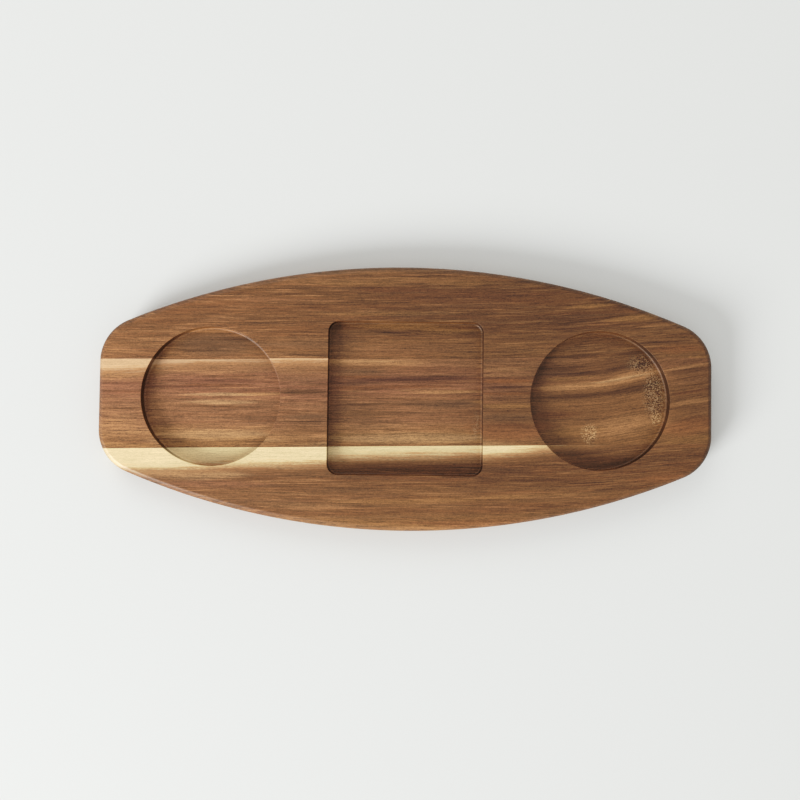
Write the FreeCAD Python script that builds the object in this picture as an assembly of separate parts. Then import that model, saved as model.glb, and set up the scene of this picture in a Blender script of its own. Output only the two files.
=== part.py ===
import FreeCAD, Part
import math
import os

# A boat-shaped serving board, glued up from three full-length wooden staves,
# with a square dish recess between two round dip-bowl recesses.
# Origin: centre of the underside. +X runs along the board, +Y to the rear, +Z up.

# Driving dimensions, in millimetres and degrees.
board_length = 400.0
board_width = 172.5
board_thickness = 20.0
side_arc_radius = 470.0       # bow of the two long edges
corner_radius = 29.7          # plan radius of the four outer corners
top_edge_radius = 3.5         # roundover along the upper outer edge
bottom_edge_radius = 2.0      # eased lower outer edge

recess_depth = 7.2
recess_floor_radius = 1.2     # cutter radius left between a recess's wall and its floor
recess_rim_bevel = 0.4        # sanded rim of a recess, at 45 degrees
recess_spacing = 126.5        # from the board's centre to each round recess
round_recess_diameter = 90.5
square_recess_length = 101.0  # along the board
square_recess_width = 100.0   # across the board
square_corner_radius = 7.0    # plan radius of the square recess's corners

rear_joint_y = 26.2           # where each glue joint crosses the board's centre line
front_joint_y = -31.0
rear_joint_skew = 0.75        # the joints run slightly askew, rising towards +X
front_joint_skew = 1.05
glue_thickness = 0.15

up = FreeCAD.Vector(0, 0, 1)
floor_z = board_thickness - recess_depth
reach = board_length          # half the size of the blocks that part the staves


def tangent_outline():
    """Closed wire of the board's plan: two bowed sides, two straight ends, four round corners."""
    half_length = board_length / 2
    half_width = board_width / 2
    side_centre_y = half_width - side_arc_radius
    corner_x = half_length - corner_radius
    inner_radius = side_arc_radius - corner_radius
    corner_y = side_centre_y + math.sqrt(inner_radius ** 2 - corner_x ** 2)
    # The side arc meets the corner arc on the line through both centres.
    meet_angle = math.atan2(corner_y - side_centre_y, corner_x)
    meet_x = corner_x + corner_radius * math.cos(meet_angle)
    meet_y = corner_y + corner_radius * math.sin(meet_angle)
    middle_x = corner_x + corner_radius * math.cos(meet_angle / 2)
    middle_y = corner_y + corner_radius * math.sin(meet_angle / 2)

    def at(x, y):
        return FreeCAD.Vector(x, y, 0)

    edges = [
        Part.LineSegment(at(half_length, -corner_y), at(half_length, corner_y)),
        Part.Arc(at(half_length, corner_y), at(middle_x, middle_y), at(meet_x, meet_y)),
        Part.Arc(at(meet_x, meet_y), at(0, half_width), at(-meet_x, meet_y)),
        Part.Arc(at(-meet_x, meet_y), at(-middle_x, middle_y), at(-half_length, corner_y)),
        Part.LineSegment(at(-half_length, corner_y), at(-half_length, -corner_y)),
        Part.Arc(at(-half_length, -corner_y), at(-middle_x, -middle_y), at(-meet_x, -meet_y)),
        Part.Arc(at(-meet_x, -meet_y), at(0, -half_width), at(meet_x, -meet_y)),
        Part.Arc(at(meet_x, -meet_y), at(middle_x, -middle_y), at(half_length, -corner_y)),
    ]
    return Part.Wire([edge.toShape() for edge in edges])


def edges_at_height(shape, z):
    """Edges that lie wholly in the level plane at z."""
    box_heights = [(edge, edge.BoundBox.ZMin, edge.BoundBox.ZMax) for edge in shape.Edges]
    return [edge for edge, low, high in box_heights if abs(low - z) < 1e-4 and abs(high - z) < 1e-4]


def board_blank():
    """The whole board before its recesses are cut, with both outer edges rounded."""
    blank = Part.Face(tangent_outline()).extrude(up * board_thickness)
    blank = blank.makeFillet(top_edge_radius, edges_at_height(blank, board_thickness))
    return blank.makeFillet(bottom_edge_radius, edges_at_height(blank, 0))


def round_cutter(centre_x):
    """Material taken out by a round recess: a turned profile with a rounded floor and bevelled rim."""
    wall = round_recess_diameter / 2
    # From a fillet's corner to the middle of its quarter arc, along each axis.
    floor_middle = recess_floor_radius * (1 - math.sqrt(0.5))

    def at(radius, z):
        return FreeCAD.Vector(centre_x + radius, 0, z)

    floor_end = at(wall - recess_floor_radius, floor_z)
    floor_arc = at(wall - floor_middle, floor_z + floor_middle)
    wall_foot = at(wall, floor_z + recess_floor_radius)
    wall_head = at(wall, board_thickness - recess_rim_bevel)
    rim_end = at(wall + recess_rim_bevel, board_thickness)
    edges = [
        Part.LineSegment(at(0, floor_z), floor_end),
        Part.Arc(floor_end, floor_arc, wall_foot),
        Part.LineSegment(wall_foot, wall_head),
        Part.LineSegment(wall_head, rim_end),
        Part.LineSegment(rim_end, at(0, board_thickness)),
        Part.LineSegment(at(0, board_thickness), at(0, floor_z)),
    ]
    profile = Part.Face(Part.Wire([edge.toShape() for edge in edges]))
    return profile.revolve(at(0, 0), up, 360)


def square_cutter():
    """Material taken out by the square recess, with round plan corners and a rounded floor."""
    corner = FreeCAD.Vector(-square_recess_length / 2, -square_recess_width / 2, floor_z)
    cutter = Part.makeBox(square_recess_length, square_recess_width, recess_depth, corner)
    uprights = [edge for edge in cutter.Edges if edge.BoundBox.ZLength > recess_depth / 2]
    cutter = cutter.makeFillet(square_corner_radius, uprights)
    return cutter.makeFillet(recess_floor_radius, edges_at_height(cutter, floor_z))


def whole_board():
    """The board with its three recesses and their sanded rims, not yet parted into staves."""
    board = board_blank()
    for centre_x in (-recess_spacing, recess_spacing):
        board = board.cut(round_cutter(centre_x))
    square = square_cutter()
    board = board.cut(square)
    # The square recess's rim is where the top face's edges lie on the cutter.
    rim = []
    for edge in edges_at_height(board, board_thickness):
        middle = edge.valueAt((edge.FirstParameter + edge.LastParameter) / 2)
        if square.distToShape(Part.Vertex(middle))[0] < 1e-4:
            rim.append(edge)
    return board.makeChamfer(recess_rim_bevel, rim)


def strip(low_y, low_skew, high_y, high_skew):
    """A tall block over the plan between two lines that cross Y at low_y and high_y."""
    low_rise = reach * math.tan(math.radians(low_skew))
    high_rise = reach * math.tan(math.radians(high_skew))
    corners = [
        FreeCAD.Vector(-reach, low_y - low_rise, -1),
        FreeCAD.Vector(reach, low_y + low_rise, -1),
        FreeCAD.Vector(reach, high_y + high_rise, -1),
        FreeCAD.Vector(-reach, high_y - high_rise, -1),
    ]
    face = Part.Face(Part.makePolygon(corners + corners[:1]))
    return face.extrude(up * (board_thickness + 2))


def part_into_staves(board):
    """Every piece of the board by name: three staves and the two glue lines between them."""
    half_glue = glue_thickness / 2
    front_edge = (-reach, 0)
    front_low = (front_joint_y - half_glue, front_joint_skew)
    front_high = (front_joint_y + half_glue, front_joint_skew)
    rear_low = (rear_joint_y - half_glue, rear_joint_skew)
    rear_high = (rear_joint_y + half_glue, rear_joint_skew)
    rear_edge = (reach, 0)
    spans = {
        "front_stave": front_edge + front_low,
        "front_glue_line": front_low + front_high,
        "middle_stave": front_high + rear_low,
        "rear_glue_line": rear_low + rear_high,
        "rear_stave": rear_high + rear_edge,
    }
    return {name: board.common(strip(*span)) for name, span in spans.items()}


def single_solid(name, shape):
    """The one solid that a piece is, checked before it is written."""
    if len(shape.Solids) != 1 or not shape.Solids[0].isValid():
        raise RuntimeError(f"{name} is {len(shape.Solids)} solids or not valid")
    return shape.Solids[0]


os.makedirs("parts", exist_ok=True)
for piece_name, piece_shape in part_into_staves(whole_board()).items():
    solid = single_solid(piece_name, piece_shape)
    solid.exportStep(f"parts/{piece_name}.step")
    print(piece_name, round(solid.Volume / 1000, 2), "cm3", solid.BoundBox)
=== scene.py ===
import math

import bmesh
import bpy
import numpy as np
from mathutils import Matrix, Vector, geometry, noise


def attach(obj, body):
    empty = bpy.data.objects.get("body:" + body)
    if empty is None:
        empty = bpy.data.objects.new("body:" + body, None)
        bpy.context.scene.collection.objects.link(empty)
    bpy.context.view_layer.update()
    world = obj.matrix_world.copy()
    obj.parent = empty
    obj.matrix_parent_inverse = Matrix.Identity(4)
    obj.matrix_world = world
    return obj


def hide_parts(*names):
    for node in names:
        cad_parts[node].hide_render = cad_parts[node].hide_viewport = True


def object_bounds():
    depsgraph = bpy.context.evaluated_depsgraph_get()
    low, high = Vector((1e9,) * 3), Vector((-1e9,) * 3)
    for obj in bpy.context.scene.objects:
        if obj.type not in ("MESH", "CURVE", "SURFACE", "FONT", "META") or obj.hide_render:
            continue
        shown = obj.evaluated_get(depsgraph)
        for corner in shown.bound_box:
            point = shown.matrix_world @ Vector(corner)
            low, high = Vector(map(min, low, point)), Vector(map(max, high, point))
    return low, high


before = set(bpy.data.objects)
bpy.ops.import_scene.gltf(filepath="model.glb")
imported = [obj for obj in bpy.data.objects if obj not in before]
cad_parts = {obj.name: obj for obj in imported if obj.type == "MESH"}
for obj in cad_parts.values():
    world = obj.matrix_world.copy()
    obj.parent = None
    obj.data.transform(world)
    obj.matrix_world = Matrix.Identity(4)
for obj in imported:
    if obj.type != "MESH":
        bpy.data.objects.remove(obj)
cadLow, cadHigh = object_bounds()
mm = 0.001

# The board, in millimetres. Its overall size comes from the parts in model.glb.
board = {
    "halfLength": cadHigh.x / mm,
    "halfWidth": cadHigh.y / mm,
    "thickness": cadHigh.z / mm,
    "sideBow": 470.0,          # radius of the two long edges
    "cornerRadius": 29.7,
    "topRound": 3.5,
    "topRoundLead": 18.0,      # slope at which the top round starts, in degrees
    "bottomRound": 2.0,
    "recessDepth": 7.2,
    "floorRadius": 1.2,
    "rimRadius": 0.3,
    "roundRadius": 45.25,
    "roundSpacing": 126.5,
    "squareLength": 101.0,
    "squareWidth": 100.0,
    "squareCorner": 7.0,
}
# Where each glue joint crosses the middle of the board, and how far it leans, in degrees.
joints = {"rear": (26.2, 0.75), "front": (-31.0, 1.05), "glue": 0.15}
# How finely the surfaces are divided, in millimetres. clear is how far the points of a flat stay
# from its edge, as a share of their spacing, sideRows are shares of the thickness, steps count the
# divisions of each section's arcs, and faces that meet at more than crease degrees are shaded apart.
fineness = {
    "side": 4.0, "corner": 1.2, "rim": 1.0, "squareCorner": 0.7, "squareSide": 3.0, "flat": 4.0,
    "underside": 8.0, "clear": 0.6, "support": 0.35, "level": 0.01, "merge": 1e-4, "touch": 1e-5,
    "sideRows": (0.56, 0.34), "steps": {"topRound": 9, "bottomRound": 6, "rim": 4, "foot": 5},
    "crease": 38.0,
}
# Grain torn by the router: centre, half size, spacing of the points, height of the fibres, the tone
# of the lifted ends, and how strongly their light specks and the painted shade between them show.
tornPatches = [
    {"centre": (121.0, -21.5), "half": (5.4, 6.8), "spacing": 0.55, "height": 0.22,
     "tone": "straw", "light": 0.95, "dark": 0.25},
    {"centre": (163.5, 5.0), "half": (7.6, 17.0), "spacing": 0.6, "height": 0.22,
     "tone": "fray", "light": 0.55, "dark": 0.9},
    {"centre": (165.0, -11.2), "half": (3.6, 5.0), "spacing": 0.6, "height": 0.24,
     "tone": "straw", "light": 1.0, "dark": 0.1},
    {"centre": (155.0, 24.5), "half": (10.0, 6.4), "spacing": 0.6, "height": 0.18,
     "tone": "fray", "light": 0.4, "dark": 0.95},
    {"centre": (46.6, -17.0), "half": (2.6, 9.0), "spacing": 0.6, "height": 0.1,
     "tone": "fray", "light": 0.35, "dark": 0.2},
]
# How the torn fibres stand up: how soon they reach their height inside a patch, how fast the
# lifting varies along and across the grain, how far the points stray from their rows and what
# margin they keep from coarser ones, how uneven the lifting is, and how far it may dip. The next
# three are the spans over which the light ends, the painted shade in the gaps between the fibres
# and a patch itself set in, and ragged is how uneven the patch's edge is.
fraying = {
    "onset": 2.2, "along": 0.9, "across": 1.7, "jitter": 0.3, "margin": 0.05, "uneven": 0.35,
    "lowest": -0.4, "specks": (0.5, 0.6), "shadedGaps": (0.46, 0.38), "edge": (1.2, 0.5), "ragged": 1.2,
}
# A small chip in the rim of the left recess, beside the rear joint. Its depth varies from point to
# point between the two shares in rough, and it leaves what lies deeper than below alone.
rimChip = {"centre": (-87.3, 22.6), "reach": 2.6, "depth": 1.0, "below": 2.5, "rough": (0.7, 1.2)}
# What hand sanding takes off: height on average, and nearly none or twice as much in places. The
# undulations are width wide, and change sides times as fast with height.
sanding = {"height": 0.035, "width": 30.0, "sides": 3}

top = board["thickness"]
floorZ = top - board["recessDepth"]
draw = np.random.default_rng(11)


# Plan curves: each is points with the direction that leads out of the shape.

def arcLine(centre, radius, start, end, spacing):
    steps = max(3, math.ceil((end - start) * radius / spacing))
    angles = start + (end - start) * np.arange(steps) / steps
    outward = np.stack([np.cos(angles), np.sin(angles)], axis=1)
    return np.array(centre) + radius * outward, outward


def straightLine(start, end, spacing):
    start, end = np.array(start), np.array(end)
    length = np.linalg.norm(end - start)
    steps = max(1, math.ceil(length / spacing))
    along = (end - start) / length
    points = start + np.outer(length * np.arange(steps) / steps, along)
    return points, np.tile([along[1], -along[0]], (steps, 1))


def joined(*lines):
    return tuple(np.concatenate(part) for part in zip(*lines))


def outlineLoop():
    a, b, bow, corner = (board[k] for k in ("halfLength", "halfWidth", "sideBow", "cornerRadius"))
    cornerX = a - corner
    cornerY = (b - bow) + math.sqrt((bow - corner) ** 2 - cornerX ** 2)
    meet = math.atan2(cornerY - (b - bow), cornerX)   # where a side arc runs into a corner
    side, fine = fineness["side"], fineness["corner"]
    return joined(
        straightLine((a, -cornerY), (a, cornerY), side),
        arcLine((cornerX, cornerY), corner, 0, meet, fine),
        arcLine((0, b - bow), bow, meet, math.pi - meet, side),
        arcLine((-cornerX, cornerY), corner, math.pi - meet, math.pi, fine),
        straightLine((-a, cornerY), (-a, -cornerY), side),
        arcLine((-cornerX, -cornerY), corner, math.pi, math.pi + meet, fine),
        arcLine((0, bow - b), bow, math.pi + meet, 2 * math.pi - meet, side),
        arcLine((cornerX, -cornerY), corner, 2 * math.pi - meet, 2 * math.pi, fine),
    )


def roundLoop(centreX):
    return arcLine((centreX, 0), board["roundRadius"], 0, 2 * math.pi, fineness["rim"])


def squareLoop():
    corner = board["squareCorner"]
    x, y = board["squareLength"] / 2, board["squareWidth"] / 2
    inX, inY = x - corner, y - corner
    quarter, fine, side = math.pi / 2, fineness["squareCorner"], fineness["squareSide"]
    return joined(
        straightLine((x, -inY), (x, inY), side),
        arcLine((inX, inY), corner, 0, quarter, fine),
        straightLine((inX, y), (-inX, y), side),
        arcLine((-inX, inY), corner, quarter, 2 * quarter, fine),
        straightLine((-x, inY), (-x, -inY), side),
        arcLine((-inX, -inY), corner, 2 * quarter, 3 * quarter, fine),
        straightLine((-inX, -y), (inX, -y), side),
        arcLine((inX, -inY), corner, 3 * quarter, 4 * quarter, fine),
    )


# The board's surface, in millimetres until it is parted.

def sectionArc(which, centreOffset, centreZ, radius, start, end):
    # an arc of a section: pairs of (offset from the plan curve, height)
    steps = fineness["steps"][which]
    angles = [math.radians(start + (end - start) * k / steps) for k in range(steps + 1)]
    return [(centreOffset + radius * math.cos(a), centreZ + radius * math.sin(a)) for a in angles]


def outerSection():
    # the sander leaves a faint edge where the top round starts, so that arc begins inclined
    lower, support, lead = board["bottomRound"], fineness["support"], board["topRoundLead"]
    radius = board["topRound"] / (1 - math.sin(math.radians(lead)))
    drop = radius * math.cos(math.radians(lead))
    section = [(-board["topRound"] - support, top)]
    section += sectionArc("topRound", -radius, top - drop, radius, 90 - lead, 0)
    section += [(0, top - drop - support)] + [(0, share * top) for share in fineness["sideRows"]]
    section += [(0, lower + support)] + sectionArc("bottomRound", -lower, lower, lower, 0, -90)
    return section + [(-lower - support, 0)]


def recessSection():
    rim, foot, support = board["rimRadius"], board["floorRadius"], fineness["support"]
    section = [(rim + support, top)]
    section += sectionArc("rim", rim, top - rim, rim, 90, 180)
    section += [(0, top - rim - support), (0, (top + floorZ) / 2), (0, floorZ + foot + support)]
    section += sectionArc("foot", -foot, floorZ + foot, foot, 0, -90)
    return section + [(-foot - support, floorZ)]


def sweep(mesh, loop, section):
    points, outward = loop
    rings = []
    for offset, z in section:
        ring = points + outward * offset
        rings.append([mesh.verts.new((x, y, z)) for x, y in ring])
    for upper, lower in zip(rings, rings[1:]):
        for k in range(len(upper)):
            mesh.faces.new((upper[k - 1], upper[k], lower[k], lower[k - 1]))
    return rings


def flatPoints(inside, spacing):
    # staggered rows of points over the board's plan, kept where they lie well inside
    rows = []
    rowStep = spacing * math.sqrt(0.75)
    for row, y in enumerate(np.arange(-board["halfWidth"], board["halfWidth"], rowStep)):
        x = np.arange(-board["halfLength"], board["halfLength"], spacing) + spacing / 2 * (row % 2)
        rows.append(np.stack([x, np.full_like(x, y)], axis=1))
    points = np.concatenate(rows)
    return points[inside(points) > spacing * fineness["clear"]]


def outlineDepth(points):
    x, y = np.abs(points[:, 0]), np.abs(points[:, 1])
    bow = board["sideBow"]
    side = bow - np.hypot(x, y - (board["halfWidth"] - bow))
    return np.minimum(side, board["halfLength"] - x)


def roundDepth(points, centreX):
    return board["roundRadius"] - np.hypot(points[:, 0] - centreX, points[:, 1])


def squareDepth(points):
    corner = board["squareCorner"]
    x = np.abs(points[:, 0]) - board["squareLength"] / 2 + corner
    y = np.abs(points[:, 1]) - board["squareWidth"] / 2 + corner
    beyond = np.hypot(np.maximum(x, 0), np.maximum(y, 0)) + np.minimum(np.maximum(x, y), 0)
    return corner - beyond


def fillFlat(mesh, rings, inner, z):
    # one level face inside its first ring and outside the others, over staggered points
    vertices, borders = [], []
    for ring in rings:
        borders.append(list(range(len(vertices), len(vertices) + len(ring))))
        vertices += [Vector(v.co.xy) for v in ring]
    vertices += [Vector(point) for point in inner]
    found = geometry.delaunay_2d_cdt(vertices, [], borders, 0, fineness["touch"], True)
    corners = [mesh.verts.new((v.x, v.y, z)) for v in found[0]]
    for face, within in zip(found[2], found[5]):
        if set(within) == {0}:
            mesh.faces.new([corners[k] for k in face])


def tornDepth(points, patch):
    away = (points[:, :2] - np.array(patch["centre"])) / np.array(patch["half"])
    return 1 - np.hypot(away[:, 0], away[:, 1])


def withPatches(points, inside):
    # denser points where the grain is torn
    for patch in tornPatches:
        fine = flatPoints(lambda p: tornDepth(p, patch) + patch["spacing"], patch["spacing"])
        fine = fine[inside(fine) > patch["spacing"]]
        if len(fine):
            jitter = fraying["jitter"]
            fine = fine + draw.uniform(-jitter, jitter, fine.shape) * patch["spacing"]
            around = points[tornDepth(points, patch) < -fraying["margin"]]
            points = np.concatenate([around, fine])
    return points


def boardSurface():
    mesh = bmesh.new()
    spacing = board["roundSpacing"]
    outer = sweep(mesh, outlineLoop(), outerSection())
    rims, floors = [], []
    depths = [lambda p: roundDepth(p, -spacing), squareDepth, lambda p: roundDepth(p, spacing)]
    for loop, depth in zip([roundLoop(-spacing), squareLoop(), roundLoop(spacing)], depths):
        rings = sweep(mesh, loop, recessSection())
        rims.append(rings[0])
        floors.append((rings[-1], lambda p, d=depth: d(p) - board["floorRadius"] - fineness["support"]))

    def topDepth(points):
        rimWidth = board["rimRadius"] + fineness["support"]
        edge = outlineDepth(points) - board["topRound"] - fineness["support"]
        return np.minimum.reduce([edge] + [-depth(points) - rimWidth for depth in depths])

    fillFlat(mesh, [outer[0]] + rims, flatPoints(topDepth, fineness["flat"]), top)
    for ring, depth in floors:
        inner = withPatches(flatPoints(depth, fineness["flat"]), depth)
        fillFlat(mesh, [ring], inner, floorZ)
    inner = flatPoints(lambda p: outlineDepth(p) - board["bottomRound"], fineness["underside"])
    fillFlat(mesh, [outer[-1]], inner, 0)
    bmesh.ops.remove_doubles(mesh, verts=mesh.verts, dist=fineness["merge"])
    bmesh.ops.recalc_face_normals(mesh, faces=mesh.faces)
    return mesh


def workedSurface(mesh):
    # hand sanding, torn grain and the chip, moved in the mesh itself
    places = np.array([tuple(v.co) for v in mesh.verts])
    torn = np.zeros(len(places))
    for patch in tornPatches:
        fullness = np.clip(tornDepth(places, patch) * fraying["onset"], 0, 1)
        torn = np.maximum(torn, fullness * patch["height"])
    torn[np.abs(places[:, 2] - floorZ) > fineness["level"]] = 0
    for vertex, fibre in zip(mesh.verts, torn):
        x, y, z = vertex.co
        if fibre > 0:
            lift = noise.noise(Vector((x * fraying["along"], y * fraying["across"], 4.0)))
            lift += fraying["uneven"] * draw.normal()
            vertex.co.z += fibre * max(lift, fraying["lowest"])
        swell = noise.noise(Vector((x, y, z * sanding["sides"])) / sanding["width"])
        if z > board["bottomRound"]:
            vertex.co -= vertex.normal * sanding["height"] * (1 - swell)
        nick = 1 - (Vector((x, y)) - Vector(rimChip["centre"])).length / rimChip["reach"]
        if nick > 0 and z > top - rimChip["below"]:
            least, most = rimChip["rough"]
            vertex.co.z -= rimChip["depth"] * nick * nick * (least + (most - least) * draw.random())


def cutAt(mesh, y, lean, keepRear):
    # parts the mesh on an upright plane across Y and closes the cut face
    across = Vector((-math.sin(math.radians(lean)), math.cos(math.radians(lean)), 0))
    everything = mesh.verts[:] + mesh.edges[:] + mesh.faces[:]
    bmesh.ops.bisect_plane(
        mesh, geom=everything, dist=fineness["touch"], plane_co=(0, y, 0), plane_no=across,
        clear_inner=keepRear, clear_outer=not keepRear)
    openEdges = [edge for edge in mesh.edges if edge.is_boundary]
    bmesh.ops.triangle_fill(mesh, edges=openEdges, use_beauty=True, use_dissolve=False)
    bmesh.ops.recalc_face_normals(mesh, faces=mesh.faces)


def piece(name, whole, cuts, node, material):
    mesh = whole.copy()
    for (y, lean), keepRear in cuts:
        cutAt(mesh, y, lean, keepRear)
    bmesh.ops.scale(mesh, vec=(mm, mm, mm), verts=mesh.verts)
    data = bpy.data.meshes.new(name)
    mesh.to_mesh(data)
    mesh.free()
    data.polygons.foreach_set("use_smooth", [True] * len(data.polygons))
    data.set_sharp_from_angle(angle=math.radians(fineness["crease"]))
    data.materials.append(material)
    made = bpy.data.objects.new(name, data)
    bpy.context.scene.collection.objects.link(made)
    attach(made, "root")
    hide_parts(node)


# Materials, with their values as Python expressions.

class Flow:
    # one output of a node; arithmetic on it adds Math nodes
    def __init__(self, sheet, socket):
        self.sheet, self.socket = sheet, socket

    def __add__(self, other):
        return self.sheet.maths("ADD", self, other)

    def __sub__(self, other):
        return self.sheet.maths("SUBTRACT", self, other)

    def __rsub__(self, other):
        return self.sheet.maths("SUBTRACT", other, self)

    def __mul__(self, other):
        return self.sheet.maths("MULTIPLY", self, other)

    def __truediv__(self, other):
        return self.sheet.maths("DIVIDE", self, other)

    def __abs__(self):
        return self.sheet.maths("ABSOLUTE", self)

    __radd__ = __add__
    __rmul__ = __mul__


class Sheet:
    # a material's nodes
    def __init__(self, name):
        self.material = bpy.data.materials.new(name)
        self.material.use_nodes = True
        self.tree = self.material.node_tree
        self.tree.nodes.clear()

    def node(self, kind, settings=None, values=None, output=0):
        made = self.tree.nodes.new("ShaderNode" + kind)
        for key, value in (settings or {}).items():
            if key == "stops":
                setStops(made.color_ramp, value)
            elif key == "points":
                setPoints(made.mapping, value)
            else:
                setattr(made, key, value)
        for key, value in (values or {}).items():
            if isinstance(value, Flow):
                self.tree.links.new(value.socket, made.inputs[key])
            else:
                made.inputs[key].default_value = value
        return Flow(self, made.outputs[output]) if made.outputs else None

    def maths(self, operation, *terms):
        return self.node("Math", {"operation": operation}, dict(enumerate(terms)))

    def stretch(self, value, low, high, toLow=0.0, toHigh=1.0, kind="LINEAR"):
        ends = {"From Min": low, "From Max": high, "To Min": toLow, "To Max": toHigh}
        return self.node("MapRange", {"interpolation_type": kind}, {"Value": value, **ends})

    def smooth(self, value, low, high, toLow=0.0, toHigh=1.0):
        return self.stretch(value, low, high, toLow, toHigh, "SMOOTHSTEP")

    def mix(self, amount, first, second):
        return self.node("Mix", {"data_type": "RGBA"}, {0: amount, 6: first, 7: second}, 2)

    def scaled(self, colour, amount):
        return self.node("VectorMath", {"operation": "SCALE"}, {0: colour, "Scale": amount})

    def combined(self, x, y, z):
        return self.node("CombineXYZ", {}, {0: x, 1: y, 2: z})


def setStops(ramp, stops):
    for _ in stops[2:]:
        ramp.elements.new(0.5)
    for element, (position, colour) in zip(ramp.elements, stops):
        element.position, element.color = position, colour


def setPoints(mapping, points, which=0):
    curve = mapping.curves[which]
    for _ in points[2:]:
        curve.points.new(0.5, 0.5)
    for point, (x, y) in zip(curve.points, points):
        point.location = (x, y)
    mapping.update()


# Acacia's colours, as the share of red, green and blue light sent back.
tones = {
    "cream": (0.83, 0.63, 0.34, 1),
    "pale": (0.703, 0.419, 0.235, 1),
    "straw": (0.483, 0.291, 0.139, 1),
    "fray": (0.375, 0.250, 0.140, 1),
    "honey": (0.345, 0.168, 0.070, 1),
    "golden": (0.269, 0.127, 0.046, 1),
    "tan": (0.242, 0.109, 0.049, 1),
    "rose": (0.228, 0.096, 0.048, 1),
    "rust": (0.225, 0.086, 0.033, 1),
    "chestnut": (0.183, 0.082, 0.032, 1),
    "brown": (0.132, 0.056, 0.021, 1),
    "russet": (0.141, 0.051, 0.019, 1),
    "slate": (0.122, 0.060, 0.029, 1),
    "plum": (0.120, 0.045, 0.023, 1),
    "umber": (0.081, 0.034, 0.013, 1),
    "ink": (0.032, 0.012, 0.006, 1),
}

# Each stave's wood. rise is how far its grain climbs towards the rear, glow how much lighter it is
# and width how broad its sapwood is, all as (place along the board, amount). tilt leans the growth
# rings through the thickness, in degrees. across is the colours met from front to rear over the
# middle of the board. A sapwood band lies along a joint, in tones from its fringe to its core. A
# streak is the point it runs through, half length, half width, tone and strength.
rearWood = {
    "seed": 3.0,
    "middle": 52.0,
    "tilt": 22.0,
    "ringRadius": 160.0,
    "rise": [(-200, -1.0), (-60, -0.5), (0, 0.0), (60, 0.8), (100, 2.6), (140, 6.0), (200, 11.0)],
    "glow": [(-200, 1.45), (-150, 1.34), (-100, 1.28), (-66, 1.12), (-28, 1.0), (0, 0.94), (60, 0.84),
             (200, 0.82)],
    "across": [(18, "chestnut"), (34, "chestnut"), (46, "brown"), (70, "brown"), (76, "chestnut"),
               (90, "chestnut")],
    "sapwood": None,
    "streaks": [
        ((-28, 74.5), 34, 1.9, "golden", 0.42),
        ((0, 77.5), 22, 1.3, "golden", 0.30),
        ((36, 75.5), 24, 2.2, "golden", 0.32),
        ((14, 79.5), 26, 0.7, "umber", 0.60),
        ((-4, 70.5), 30, 1.6, "russet", 0.45),
        ((-80, 63), 40, 1.6, "tan", 0.30),
        ((-30, 54.5), 30, 1.2, "golden", 0.40),
        ((0, 55.5), 18, 1.2, "golden", 0.34),
        ((0, 47.5), 34, 2.1, "golden", 0.62),
        ((30, 45.5), 22, 1.4, "golden", 0.60),
        ((-8, 43.2), 12, 0.6, "ink", 0.55),
        ((4, 41.6), 12, 0.6, "ink", 0.50),
        ((-34, 39.5), 12, 0.8, "umber", 0.50),
        ((-65, 34), 42, 2.6, "slate", 0.40),
        ((-66, 27.4), 16, 0.7, "umber", 0.65),
        ((-126, 35), 30, 7.5, "slate", 0.80),
        ((-130, 33.5), 30, 1.5, "umber", 0.50),
        ((-116, 37.4), 26, 0.9, "umber", 0.65),
        ((-134, 30.4), 26, 0.9, "umber", 0.65),
        ((-126, 43.5), 26, 1.6, "honey", 0.45),
        ((-110, 56), 24, 1.2, "brown", 0.45),
        ((120, 61.5), 16, 1.3, "golden", 0.75),
        ((150, 54), 22, 1.8, "golden", 0.85),
        ((164, 49), 14, 1.2, "honey", 0.40),
        ((100, 50.5), 22, 1.8, "umber", 0.45),
        ((124, 46.2), 22, 1.2, "umber", 0.40),
        ((118, 37), 34, 2.2, "chestnut", 0.40),
        ((168, 38.4), 22, 0.6, "ink", 0.50),
        ((112, 29.6), 24, 1.1, "umber", 0.75),
        ((150, 31.8), 14, 1.3, "ink", 0.50),
        ((186, 28.4), 16, 1.0, "golden", 0.60),
        ((40, 66), 60, 5.0, "russet", 0.36),
        ((90, 40), 40, 1.2, "umber", 0.40),
        ((176, 34), 20, 2.4, "rust", 0.50),
        ((0, 33), 40, 4.0, "tan", 0.25),
    ],
}
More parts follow.
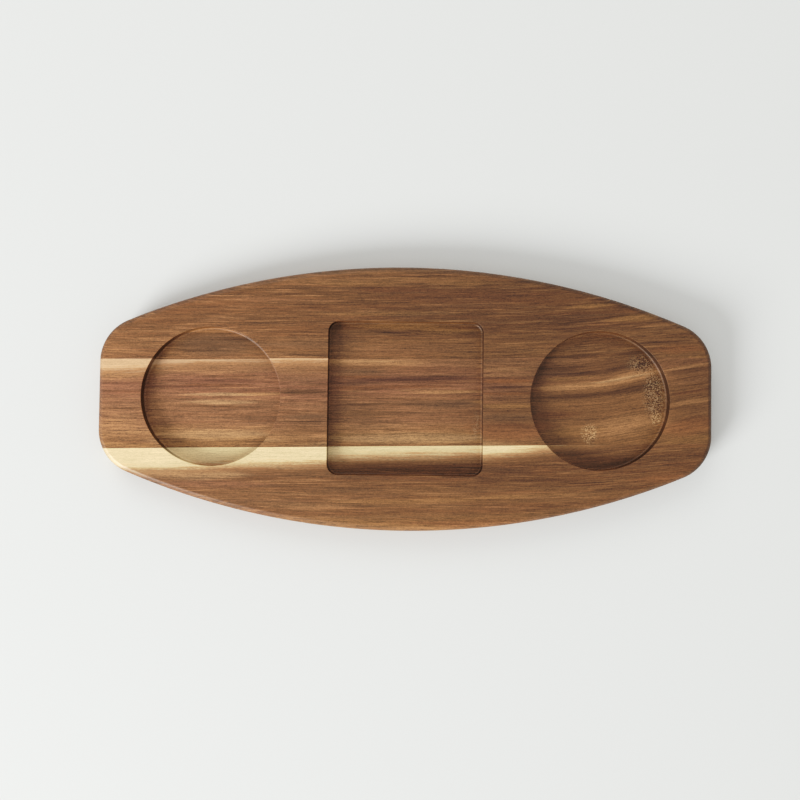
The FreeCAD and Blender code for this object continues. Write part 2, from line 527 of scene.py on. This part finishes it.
middleWood = {
    "seed": 8.0,
    "middle": -2.0,
    "tilt": 24.0,
    "ringRadius": 120.0,
    "rise": [(-200, -1.6), (-60, -0.6), (0, 0.0), (50, 0.8), (95, 2.0), (126, 4.6), (152, 9.0),
             (172, 13.0), (200, 18.0)],
    "glow": [(-200, 1.30), (-178, 1.18), (-130, 1.16), (-66, 0.98), (-28, 0.85), (0, 0.94), (60, 0.80),
             (100, 0.80), (130, 0.92), (200, 0.72)],
    "across": [(-42, "golden"), (-30, "golden"), (-24, "honey"), (-19, "tan"), (-6, "tan"), (4, "rose"),
               (12, "rose"), (18, "tan"), (34, "tan")],
    "sapwood": {
        "joint": "rear", "fringe": "honey", "flank": "honey", "core": "pale",
        "width": [(-200, 10.6), (-165, 8.6), (-130, 5.6), (-100, 4.6), (-60, 3.6), (-30, 2.6), (0, 1.2),
                  (24, -2.0), (60, -5.0), (200, -5.0)],
    },
    "streaks": [
        ((136, -2), 84, 34, "chestnut", 0.85),
        ((190, -2), 20, 34, "brown", 0.35),
        ((-186, 5), 18, 3.6, "rose", 0.75),
        ((-186, 7.6), 20, 0.7, "plum", 0.60),
        ((-186, 2.2), 20, 0.6, "russet", 0.50),
        ((-186, -9.0), 20, 0.8, "brown", 0.35),
        ((-186, -20), 18, 6.0, "honey", 0.45),
        ((-186, 13), 18, 2.6, "honey", 0.50),
        ((-122, 10.4), 40, 1.3, "plum", 0.78),
        ((-150, 6.4), 22, 0.7, "plum", 0.75),
        ((-128, 4.4), 30, 0.8, "plum", 0.45),
        ((-112, 13.2), 26, 0.7, "brown", 0.50),
        ((-122, 7.6), 30, 0.9, "russet", 0.50),
        ((-96, 2.2), 22, 0.9, "honey", 0.80),
        ((-122, 1.6), 24, 1.1, "straw", 0.45),
        ((-122, -3.4), 26, 1.5, "straw", 0.42),
        ((-122, -6.4), 34, 1.0, "brown", 0.60),
        ((-124, -25.0), 44, 3.2, "straw", 0.36),
        ((-96, -6.0), 16, 1.2, "slate", 0.40),
        ((-122, 17.0), 34, 2.2, "honey", 0.30),
        ((-66, 23.6), 22, 1.3, "honey", 0.60),
        ((-66, 18.6), 18, 0.8, "brown", 0.35),
        ((-66, 16.2), 18, 0.8, "honey", 0.35),
        ((-66, 11.5), 18, 2.4, "slate", 0.35),
        ((-66, 3.2), 20, 1.3, "umber", 0.80),
        ((-66, -1.6), 18, 0.6, "umber", 0.35),
        ((-66, -12.8), 18, 1.6, "slate", 0.65),
        ((-66, -15.9), 20, 0.7, "umber", 0.75),
        ((-66, -22), 20, 4.4, "chestnut", 0.55),
        ((-28, 20.5), 24, 1.0, "chestnut", 0.5),
        ((-30, 17.6), 18, 1.5, "slate", 0.60),
        ((-24, 11.6), 18, 1.3, "plum", 0.62),
        ((-26, 6.0), 14, 0.9, "umber", 0.50),
        ((-30, 4.2), 14, 0.6, "honey", 0.40),
        ((-28, -4.1), 16, 0.9, "umber", 0.60),
        ((-28, -10.5), 22, 3.0, "chestnut", 0.45),
        ((-22, 23.4), 38, 2.0, "honey", 0.85),
        ((-24, 24.6), 30, 0.8, "straw", 0.50),
        ((8, 13.0), 44, 2.4, "plum", 0.80),
        ((2, 12.4), 30, 0.8, "ink", 0.50),
        ((22, 14.6), 24, 0.6, "umber", 0.60),
        ((-30, 13.8), 18, 1.0, "rust", 0.80),
        ((-34, 6.6), 16, 1.2, "rust", 0.70),
        ((20, 9.8), 20, 0.6, "plum", 0.50),
        ((-6, 7.6), 40, 1.0, "russet", 0.75),
        ((-30, 9.8), 18, 0.8, "ink", 0.40),
        ((10, 5.4), 18, 1.0, "honey", 0.35),
        ((28, 4.4), 26, 1.2, "honey", 0.90),
        ((26, 19.4), 28, 2.0, "plum", 0.42),
        ((28, -3.4), 30, 2.8, "slate", 0.62),
        ((-4, -3.0), 36, 0.7, "umber", 0.50),
        ((0, -2.0), 16, 1.0, "slate", 0.35),
        ((6, -26.0), 66, 3.2, "straw", 0.42),
        ((66, 19.6), 20, 1.6, "honey", 0.50),
        ((66, 15.8), 20, 1.0, "honey", 0.35),
        ((66, 11.8), 20, 1.5, "rust", 0.85),
        ((62, 13.6), 24, 0.6, "umber", 0.55),
        ((70, 3.6), 26, 0.9, "rust", 0.70),
        ((66, -8.0), 22, 0.8, "umber", 0.45),
        ((66, 7.8), 22, 1.1, "ink", 0.55),
        ((66, 0.6), 20, 0.9, "umber", 0.50),
        ((66, -4.6), 24, 1.6, "golden", 0.75),
        ((68, -11.8), 24, 2.6, "slate", 0.55),
        ((68, -21.6), 32, 5.6, "rust", 0.70),
        ((66, -17.0), 22, 0.9, "russet", 0.55),
        ((100, 21.4), 18, 2.2, "umber", 0.62),
        ((98, 18.4), 16, 1.0, "slate", 0.5),
        ((122, 17.8), 26, 0.9, "umber", 0.70),
        ((148, 23.0), 18, 1.2, "ink", 0.50),
        ((104, 8.8), 22, 1.8, "honey", 0.70),
        ((118, 10.0), 32, 2.2, "honey", 0.98),
        ((150, 16.4), 20, 2.8, "honey", 0.98),
        ((142, 14.8), 22, 0.9, "straw", 0.55),
        ((118, 3.6), 36, 2.0, "umber", 0.80),
        ((150, 8.6), 20, 2.6, "umber", 0.70),
        ((128, 23.0), 38, 3.6, "umber", 0.62),
        ((112, 18.2), 26, 0.8, "ink", 0.50),
        ((106, 14.6), 20, 1.0, "golden", 0.60),
        ((140, 13.6), 22, 0.7, "chestnut", 0.45),
        ((100, -9.0), 18, 2.6, "russet", 0.60),
        ((126, -5), 34, 2.8, "chestnut", 0.45),
        ((142, -16), 30, 6.0, "honey", 0.62),
        ((112, -20), 24, 3.0, "golden", 0.50),
        ((186, 20.4), 18, 1.3, "umber", 0.65),
        ((186, 13.4), 18, 1.2, "tan", 0.60),
        ((186, 0.2), 18, 1.7, "honey", 0.45),
        ((186, -15), 22, 5.0, "rust", 0.62),
        ((186, -10.4), 18, 0.9, "umber", 0.45),
        ((186, 6.6), 18, 0.8, "russet", 0.55),
        ((184, 22.6), 20, 1.0, "honey", 0.60),
        ((186, -23.4), 18, 1.8, "golden", 0.50),
    ],
}
frontWood = {
    "seed": 5.0,
    "middle": -58.0,
    "tilt": -12.0,
    "ringRadius": 140.0,
    "rise": [(-200, -1.0), (-60, -0.3), (0, 0.0), (60, 0.6), (100, 1.8), (150, 5.5), (200, 10.0)],
    "glow": [(-200, 1.30), (-150, 1.26), (-100, 1.16), (-66, 1.10), (-28, 1.04), (0, 1.04), (60, 0.96),
             (200, 0.96)],
    "across": [(-96, "golden"), (-84, "golden"), (-74, "chestnut"), (-62, "chestnut"), (-54, "brown"),
               (-42, "brown"), (-30, "chestnut")],
    "sapwood": {
        "joint": "front", "fringe": "honey", "flank": "straw", "core": "cream",
        "width": [(-200, 15.5), (-155, 14.6), (-96, 12.6), (-66, 12.0), (-28, 10.6), (0, 9.6), (30, 8.6),
                  (66, 6.2), (100, 2.6), (126, 0.6), (150, -3.0), (200, -6.0)],
    },
    "streaks": [
        ((-120, -57), 40, 3.0, "rose", 0.35),
        ((-136, -50.5), 38, 3.4, "straw", 0.38),
        ((-104, -46.6), 16, 0.9, "brown", 0.55),
        ((-134, -49.0), 14, 0.8, "brown", 0.45),
        ((-84, -45.4), 12, 0.8, "chestnut", 0.50),
        ((-66, -51.5), 22, 0.8, "umber", 0.30),
        ((-66, -54), 22, 1.0, "honey", 0.35),
        ((-50, -59), 40, 2.4, "brown", 0.30),
        ((-66, -71), 34, 1.6, "honey", 0.50),
        ((-10, -67), 44, 1.6, "golden", 0.55),
        ((30, -65), 26, 1.4, "golden", 0.50),
        ((66, -63), 20, 1.5, "golden", 0.60),
        ((100, -61), 20, 1.3, "golden", 0.35),
        ((-10, -55), 30, 1.2, "chestnut", 0.50),
        ((10, -51.8), 30, 0.9, "russet", 0.40),
        ((66, -46.4), 20, 1.1, "umber", 0.50),
        ((66, -70.6), 34, 2.2, "russet", 0.35),
        ((120, -52.7), 16, 0.5, "ink", 0.45),
        ((122, -64), 16, 1.2, "umber", 0.30),
        ((168, -49), 26, 2.4, "rust", 0.50),
        ((60, -80), 60, 3.0, "rust", 0.45),
        ((150, -57), 26, 1.4, "umber", 0.35),
    ],
}


# The fine figure that every stave shares: length and width of its marks, their place in the
# seed's noise, and their detail and roughness. Along a ring they are four times as wide.
grain = {
    "broad": (120, 5.0, 2, 2.0, 0.5),
    "lines": (42, 0.95, 4, 2.0, 0.6),
    "hair": (15, 0.42, 6, 2.0, 0.6),
    "fibre": (2.6, 0.24, 8, 1.0, 0.5),
    "warmth": (90, 2.4, 10, 2.0, 0.5),
    "greyness": (60, 1.8, 12, 2.0, 0.5),
    "gilding": (30, 0.55, 18, 1.0, 0.5),
    "dashes": (16, 0.42, 20, 1.0, 0.5),
    "redness": (46, 0.8, 22, 1.0, 0.5),
}
# Marks that don't follow the rings: size along X, Y and Z, and their place in the seed's noise.
flecks = {"mottle": ((0.9, 0.55, 0.9), 14), "torn": ((0.8, 0.6, 2.0), 16)}
# How the grain wanders: size of the swings along X, Y and Z, and how wide they are.
wanders = [((110, 60, 60), 2.5), ((30, 9, 30), 0.8)]
# Broad stains of the heartwood: mark, the span over which it sets in, strength and tone.
stains = [
    ("warmth", (0.42, 0.66), 0.34, "russet"),
    ("greyness", (0.5, 0.7), 0.40, "slate"),
    ("gilding", (0.54, 0.68), 0.42, "honey"),
    ("redness", (0.56, 0.7), 0.40, "russet"),
    ("dashes", (0.59, 0.71), 0.60, "umber"),
]
# How much each mark shades the wood, and how far it shifts the heartwood's colours, the sides of
# a streak and the edge of the sapwood, in millimetres.
shading = {"broad": 0.5, "lines": 1.1, "hair": 1.6, "fibre": 1.3, "mottle": 0.9}
colourShift = {"broad": 9, "lines": 5}
streakShift = {"lines": 1.6, "hair": 0.9}
sapwoodShift = {"lines": 8, "hair": 9, "broad": 6, "mottle": 4}
# Layers of a sapwood band: from how far beyond its edge to where it is full, and strength.
sapwoodLayers = [("fringe", (6.0, 0.5), 0.6), ("flank", (2.6, -1.8), 0.85), ("core", (0.0, -4.2), 0.95)]
# Below the top face the band narrows, and over this span of depth it is painted darker, as painted shade
# in the recesses.
sapwoodDepth = {"narrowing": 0.35, "paintedShadeSpan": (1.0, 6.0), "paintedShadeStrength": 0.12}
curveReach = {"rise": 25.0, "width": 25.0, "glow": 2.0}    # largest amount that each curve may hold
# Open vessels: short dark dashes along the grain, dots where it is cut across.
vessel = {"length": 2.8, "width": 0.7, "edge": (0.26, 0.1), "strength": 0.30}
# End grain drinks more oil and is darker, and the recess walls more so the more upright they are.
# The board's ends begin beyond ends, and walls is that darkening from a sloping wall to an upright one.
endGrain = {
    "facing": (0.12, 0.75), "ends": (172, 176), "endShade": 0.36, "slope": (0.8, 0.1),
    "walls": (0.2, 0.66),
}
# How much fainter the figure is in sapwood, and on walls over this span of slopes.
fainter = {"sapwood": 0.6, "slope": (0.1, 0.7), "walls": (0.5, 1.0)}
# The oiled surface, what roughens it, and what stands up or lies open, to reliefDepth millimetres.
oil = {"roughness": 0.47, "ior": 1.5, "relief": 0.35, "reliefDepth": 0.12}
roughening = {"hair": 0.16, "pores": 0.2, "cutAcross": 0.08, "torn": 0.2}
standing = {"hair": 0.5, "fibre": 0.6, "pores": -0.9, "torn": 0.8}


def besideJoint(side, x):
    # y of a glue joint at x
    y, lean = joints[side]
    return y + x * math.tan(math.radians(lean))


def curveAlong(sheet, x, wood, which):
    # a curve over the board's length, through the listed points, of amounts up to its reach either way
    reach = curveReach[which]
    scaled = [((px / board["halfLength"] + 1) / 2, (py / reach + 1) / 2) for px, py in wood[which]]
    along = (x / board["halfLength"] + 1) / 2
    curve = sheet.node("FloatCurve", {"points": scaled}, {"Factor": 1.0, "Value": along})
    return (curve * 2 - 1) * reach


def ringPlace(wood, x, y, z, rise):
    # where a point lies across the growth rings and along one of them
    tilt = math.radians(wood["tilt"])
    across, deep = y - wood["middle"] - rise, z - top
    along = deep * math.cos(tilt) - across * math.sin(tilt)
    out = across * math.cos(tilt) + deep * math.sin(tilt) + along * along / (2 * wood["ringRadius"])
    return out, along


def workedHeight(x, y):
    # height of the surface at a point of the board's plan
    place = np.array([[x, y]])
    spacing = board["roundSpacing"]
    depth = max(squareDepth(place)[0], roundDepth(place, spacing)[0], roundDepth(place, -spacing)[0])
    return floorZ if depth > 0 else top


def streakPlace(wood, x, y):
    rise = float(np.interp(x, *zip(*wood["rise"])))
    return ringPlace(wood, x, y, workedHeight(x, y), rise)[0]


def blended(marks, shares):
    return sum(marks[mark] * share for mark, share in shares.items())


def acacia(name, wood):
    sheet = Sheet(name)
    seed = wood["seed"]
    point = sheet.node("TexCoord", output="Object")
    inMillimetres = sheet.scaled(point, 1 / mm)
    x, y, z = (sheet.node("SeparateXYZ", {}, {0: inMillimetres}, k) for k in range(3))
    facing = sheet.node("NewGeometry", output="True Normal")
    endwise, upwards = (abs(sheet.node("SeparateXYZ", {}, {0: facing}, k)) for k in (0, 2))

    def cloud(a, b, c, offset, detail=1.0, rough=0.5):
        place = sheet.combined(a + offset * 7.3, b + offset * 3.1, c + offset)
        values = {"Vector": place, "Scale": 1.0, "Detail": detail, "Roughness": rough}
        return sheet.node("TexNoise", {"noise_dimensions": "3D"}, values)

    rise = curveAlong(sheet, x, wood, "rise")
    for number, ((a, b, c), reach) in enumerate(wanders):
        rise = rise + (cloud(x / a, y / b, z / c, seed + number) - 0.5) * reach
    out, along = ringPlace(wood, x, y, z, rise)

    marks = {}
    for mark, (length, width, offset, detail, rough) in grain.items():
        marks[mark] = cloud(x / length, out / width, along / (width * 4), seed + offset, detail, rough)
    for mark, ((a, b, c), offset) in flecks.items():
        marks[mark] = cloud(x / a, y / b, z / c, seed + offset)
    swing = {mark: marks[mark] - 0.5 for mark in shading}

    places = [(ringPlace(wood, 0, py, top, 0.0)[0], tone) for py, tone in wood["across"]]
    low, high = places[0][0], places[-1][0]
    stops = [((place - low) / (high - low), tones[tone]) for place, tone in places]
    drift = out + blended(swing, colourShift)
    colour = sheet.node("ValToRGB", {"stops": stops}, {0: sheet.stretch(drift, low, high)})
    for mark, (sparse, full), strength, tone in stains:
        colour = sheet.mix(sheet.smooth(marks[mark], sparse, full) * strength, colour, tones[tone])

    ragged = blended(swing, streakShift)
    for (px, py), halfLength, halfWidth, tone, strength in wood["streaks"]:
        aside = abs(out + ragged - streakPlace(wood, px, py)) / halfWidth
        away = abs(x - px + swing["hair"] * halfLength * 0.5) / halfLength
        mask = sheet.smooth(aside + away * away, 1.5, 0.3)    # tapers towards both ends
        colour = sheet.mix(mask * strength, colour, tones[tone])
    colour = sheet.scaled(colour, curveAlong(sheet, x, wood, "glow"))

    sap = 0.0
    if wood["sapwood"]:
        band = wood["sapwood"]
        breadth = curveAlong(sheet, x, band, "width") - (top - z) * sapwoodDepth["narrowing"]
        beyond = abs(y - besideJoint(band["joint"], x)) - breadth + blended(swing, sapwoodShift)
        for layer, (sparse, full), strength in sapwoodLayers:
            sap = sheet.smooth(beyond, sparse, full)
            colour = sheet.mix(sap * strength, colour, tones[band[layer]])
        # painted shade: the sapwood on the recess floors is darkened
        paintedRecessShade = sheet.smooth(top - z, *sapwoodDepth["paintedShadeSpan"]) * sapwoodDepth["paintedShadeStrength"]
        colour = sheet.scaled(colour, 1 - sap * paintedRecessShade)

    onWalls = sheet.smooth(upwards, *fainter["slope"], *fainter["walls"])
    calm = (1 - sap * fainter["sapwood"]) * onWalls
    colour = sheet.scaled(colour, 1 + blended(swing, shading) * calm)

    cell = sheet.combined(x / vessel["length"] + seed, out / vessel["width"], along / vessel["width"])
    cells = sheet.node("TexVoronoi", {"feature": "F1"}, {"Vector": cell, "Scale": 1.0})
    pore = sheet.smooth(cells, *vessel["edge"]) * calm
    colour = sheet.mix(pore * vessel["strength"], colour, tones["ink"])

    # the light ends of the torn fibres, and the painted shade in the gaps between them
    specks, shadedGaps = (sheet.smooth(marks["torn"], *fraying[end]) for end in ("specks", "shadedGaps"))
    torn = 0.0
    for patch in tornPatches:
        (cx, cy), (rx, ry) = patch["centre"], patch["half"]
        away = sheet.combined((x - cx) / rx, (y - cy) / ry, (z - floorZ) * 2)    # kept to the floor
        near = sheet.node("VectorMath", {"operation": "LENGTH"}, {0: away}, "Value")
        within = sheet.smooth(near + swing["mottle"] * fraying["ragged"], *fraying["edge"])
        torn = torn + within
        colour = sheet.mix(specks * within * patch["light"], colour, tones[patch["tone"]])
        # painted shade in the gaps between the torn fibres
        colour = sheet.mix(shadedGaps * within * patch["dark"], colour, tones["ink"])

    cutAcross = sheet.smooth(endwise, *endGrain["facing"])
    outside = sheet.smooth(abs(x), *endGrain["ends"])
    walls = sheet.smooth(upwards, *endGrain["slope"], *endGrain["walls"])
    darkening = cutAcross * (outside * endGrain["endShade"] + (1 - outside) * walls)
    colour = sheet.scaled(colour, 1 - darkening)

    felt = {**swing, "pores": pore, "cutAcross": cutAcross, "torn": specks * torn}
    roughness = oil["roughness"] + blended(felt, roughening)
    bump = sheet.node("Bump", {}, {
        "Strength": oil["relief"], "Distance": oil["reliefDepth"] * mm,
        "Height": blended(felt, standing)})
    shader = sheet.node("BsdfPrincipled", {}, {
        "Base Color": colour, "Roughness": roughness, "Normal": bump, "IOR": oil["ior"]})
    sheet.node("OutputMaterial", {}, {"Surface": shader})
    return sheet.material


# Dried glue: length of its darker and lighter stretches, the span between them, and its roughness.
driedGlue = {"stretch": 9.0, "span": (0.4, 0.62), "roughness": 0.35, "unevenness": 0.3}


def gluedLine(name):
    sheet = Sheet(name)
    point = sheet.scaled(sheet.node("TexCoord", output="Object"), 1 / mm)
    x = sheet.node("SeparateXYZ", {}, {0: point})
    place = sheet.combined(x / driedGlue["stretch"], 0.3, 0.7)
    patchy = sheet.node("TexNoise", {"noise_dimensions": "3D"}, {"Vector": place, "Scale": 1.0})
    colour = sheet.mix(sheet.smooth(patchy, *driedGlue["span"]), tones["umber"], tones["tan"])
    roughness = patchy * driedGlue["unevenness"] + driedGlue["roughness"]
    shader = sheet.node("BsdfPrincipled", {}, {"Base Color": colour, "Roughness": roughness})
    sheet.node("OutputMaterial", {}, {"Surface": shader})
    return sheet.material


floor = {
    "reach": 4.0,        # metres from the middle to each edge
    "below": 0.0001,     # gap under the board, so that the two faces never coincide
    "tooth": 900.0,
    "tones": ((0.755, 0.768, 0.755, 1), (0.775, 0.788, 0.775, 1)),
}


def paleFloor():
    sheet = Sheet("paleFloor")
    point = sheet.node("TexCoord", output="Object")
    tooth = sheet.node("TexNoise", {}, {"Vector": point, "Scale": floor["tooth"], "Detail": 2.0})
    shader = sheet.node("BsdfPrincipled", {}, {
        "Base Color": sheet.mix(tooth, *floor["tones"]), "Roughness": 0.8})
    sheet.node("OutputMaterial", {}, {"Surface": shader})
    data = bpy.data.meshes.new("paleFloor")
    reach = floor["reach"]
    corners = [(-reach, -reach, 0), (reach, -reach, 0), (reach, reach, 0), (-reach, reach, 0)]
    data.from_pydata(corners, [], [(0, 1, 2, 3)])
    data.materials.append(sheet.material)
    made = bpy.data.objects.new("paleFloor", data)
    made.location.z = cadLow.z - floor["below"]
    bpy.context.scene.collection.objects.link(made)


# Light and camera.

studio = {
    "keyFrom": (-138, 25),       # bearing and height of each light, in degrees
    "keyDistance": 3.6,
    "keySize": 1.5,
    "keyPower": 155.0,
    "keyTint": (0.97, 0.985, 0.985),
    "fillFrom": (112, 40),
    "fillDistance": 3.0,
    "fillSize": 2.0,
    "fillPower": 18.0,
    "fillTint": (1.0, 0.985, 0.955),
    "sky": 0.665,
    "skyTint": (1.0, 0.995, 0.975, 1),
    # how light becomes tone: a little more depth in the darks, softer highlights
    "tone": [(0, 0), (0.05, 0.032), (0.12, 0.106), (0.3, 0.305), (0.55, 0.55), (0.9, 0.775), (1, 0.83)],
}
view = {
    "sensor": 36,       # millimetres
    "height": 600.0,    # above the top face, millimetres
    "across": 519.3,    # width seen at the top face
    "aim": (-3.5, -1.1),
    "roll": 0.68,
    "pitch": 1.9,       # how far the camera leans in from the front, degrees
}


def lightStudio():
    scene = bpy.context.scene
    scene.view_settings.view_transform = "Standard"
    scene.view_settings.use_curve_mapping = True
    setPoints(scene.view_settings.curve_mapping, studio["tone"], 3)
    world = bpy.data.worlds.new("studio")
    scene.world = world
    world.use_nodes = True
    sky = world.node_tree.nodes["Background"]
    sky.inputs["Color"].default_value = studio["skyTint"]
    sky.inputs["Strength"].default_value = studio["sky"]
    for part in ("key", "fill"):
        bearing, height = (math.radians(value) for value in studio[part + "From"])
        level = math.cos(height)
        towards = Vector((math.cos(bearing) * level, math.sin(bearing) * level, math.sin(height)))
        light = bpy.data.lights.new(part, "AREA")
        light.shape, light.size, light.energy = "DISK", studio[part + "Size"], studio[part + "Power"]
        light.color = studio[part + "Tint"]
        lamp = bpy.data.objects.new(part, light)
        lamp.location = towards * studio[part + "Distance"]
        lamp.rotation_euler = towards.to_track_quat("Z", "Y").to_euler()
        scene.collection.objects.link(lamp)


def placeCamera():
    data = bpy.data.cameras.new("camera")
    data.sensor_width = view["sensor"]
    data.lens = data.sensor_width * view["height"] / view["across"]
    made = bpy.data.objects.new("camera", data)
    pitch, roll = math.radians(view["pitch"]), math.radians(view["roll"])
    turn = Matrix.Rotation(pitch, 3, "X") @ Matrix.Rotation(roll, 3, "Z")
    aim = Vector((*view["aim"], top))
    made.location = (aim + turn @ Vector((0, 0, view["height"]))) * mm
    made.rotation_euler = turn.to_euler()
    bpy.context.scene.collection.objects.link(made)
    bpy.context.scene.camera = made


placeCamera()
lightStudio()
paleFloor()
print("stage set")

whole = boardSurface()
workedSurface(whole)
print("board surface:", len(whole.verts), "points")

halfGlue = joints["glue"] / 2


def cutBeside(side, offset):
    y, lean = joints[side]
    return y + offset, lean


rearCut, frontCut = cutBeside("rear", halfGlue), cutBeside("front", -halfGlue)
rearGlue, frontGlue = cutBeside("rear", -halfGlue), cutBeside("front", halfGlue)
piece("rearStave", whole, [(rearCut, True)], "rear_stave",
      acacia("rearAcacia", rearWood))
piece("middleStave", whole, [(rearGlue, False), (frontGlue, True)],
      "middle_stave", acacia("middleAcacia", middleWood))
piece("frontStave", whole, [(frontCut, False)], "front_stave",
      acacia("frontAcacia", frontWood))
glue = gluedLine("driedGlue")
piece("rearGlueLine", whole, [(rearCut, False), (rearGlue, True)],
      "rear_glue_line", glue)
piece("frontGlueLine", whole, [(frontGlue, False), (frontCut, True)],
      "front_glue_line", glue)
whole.free()
print("staves made")
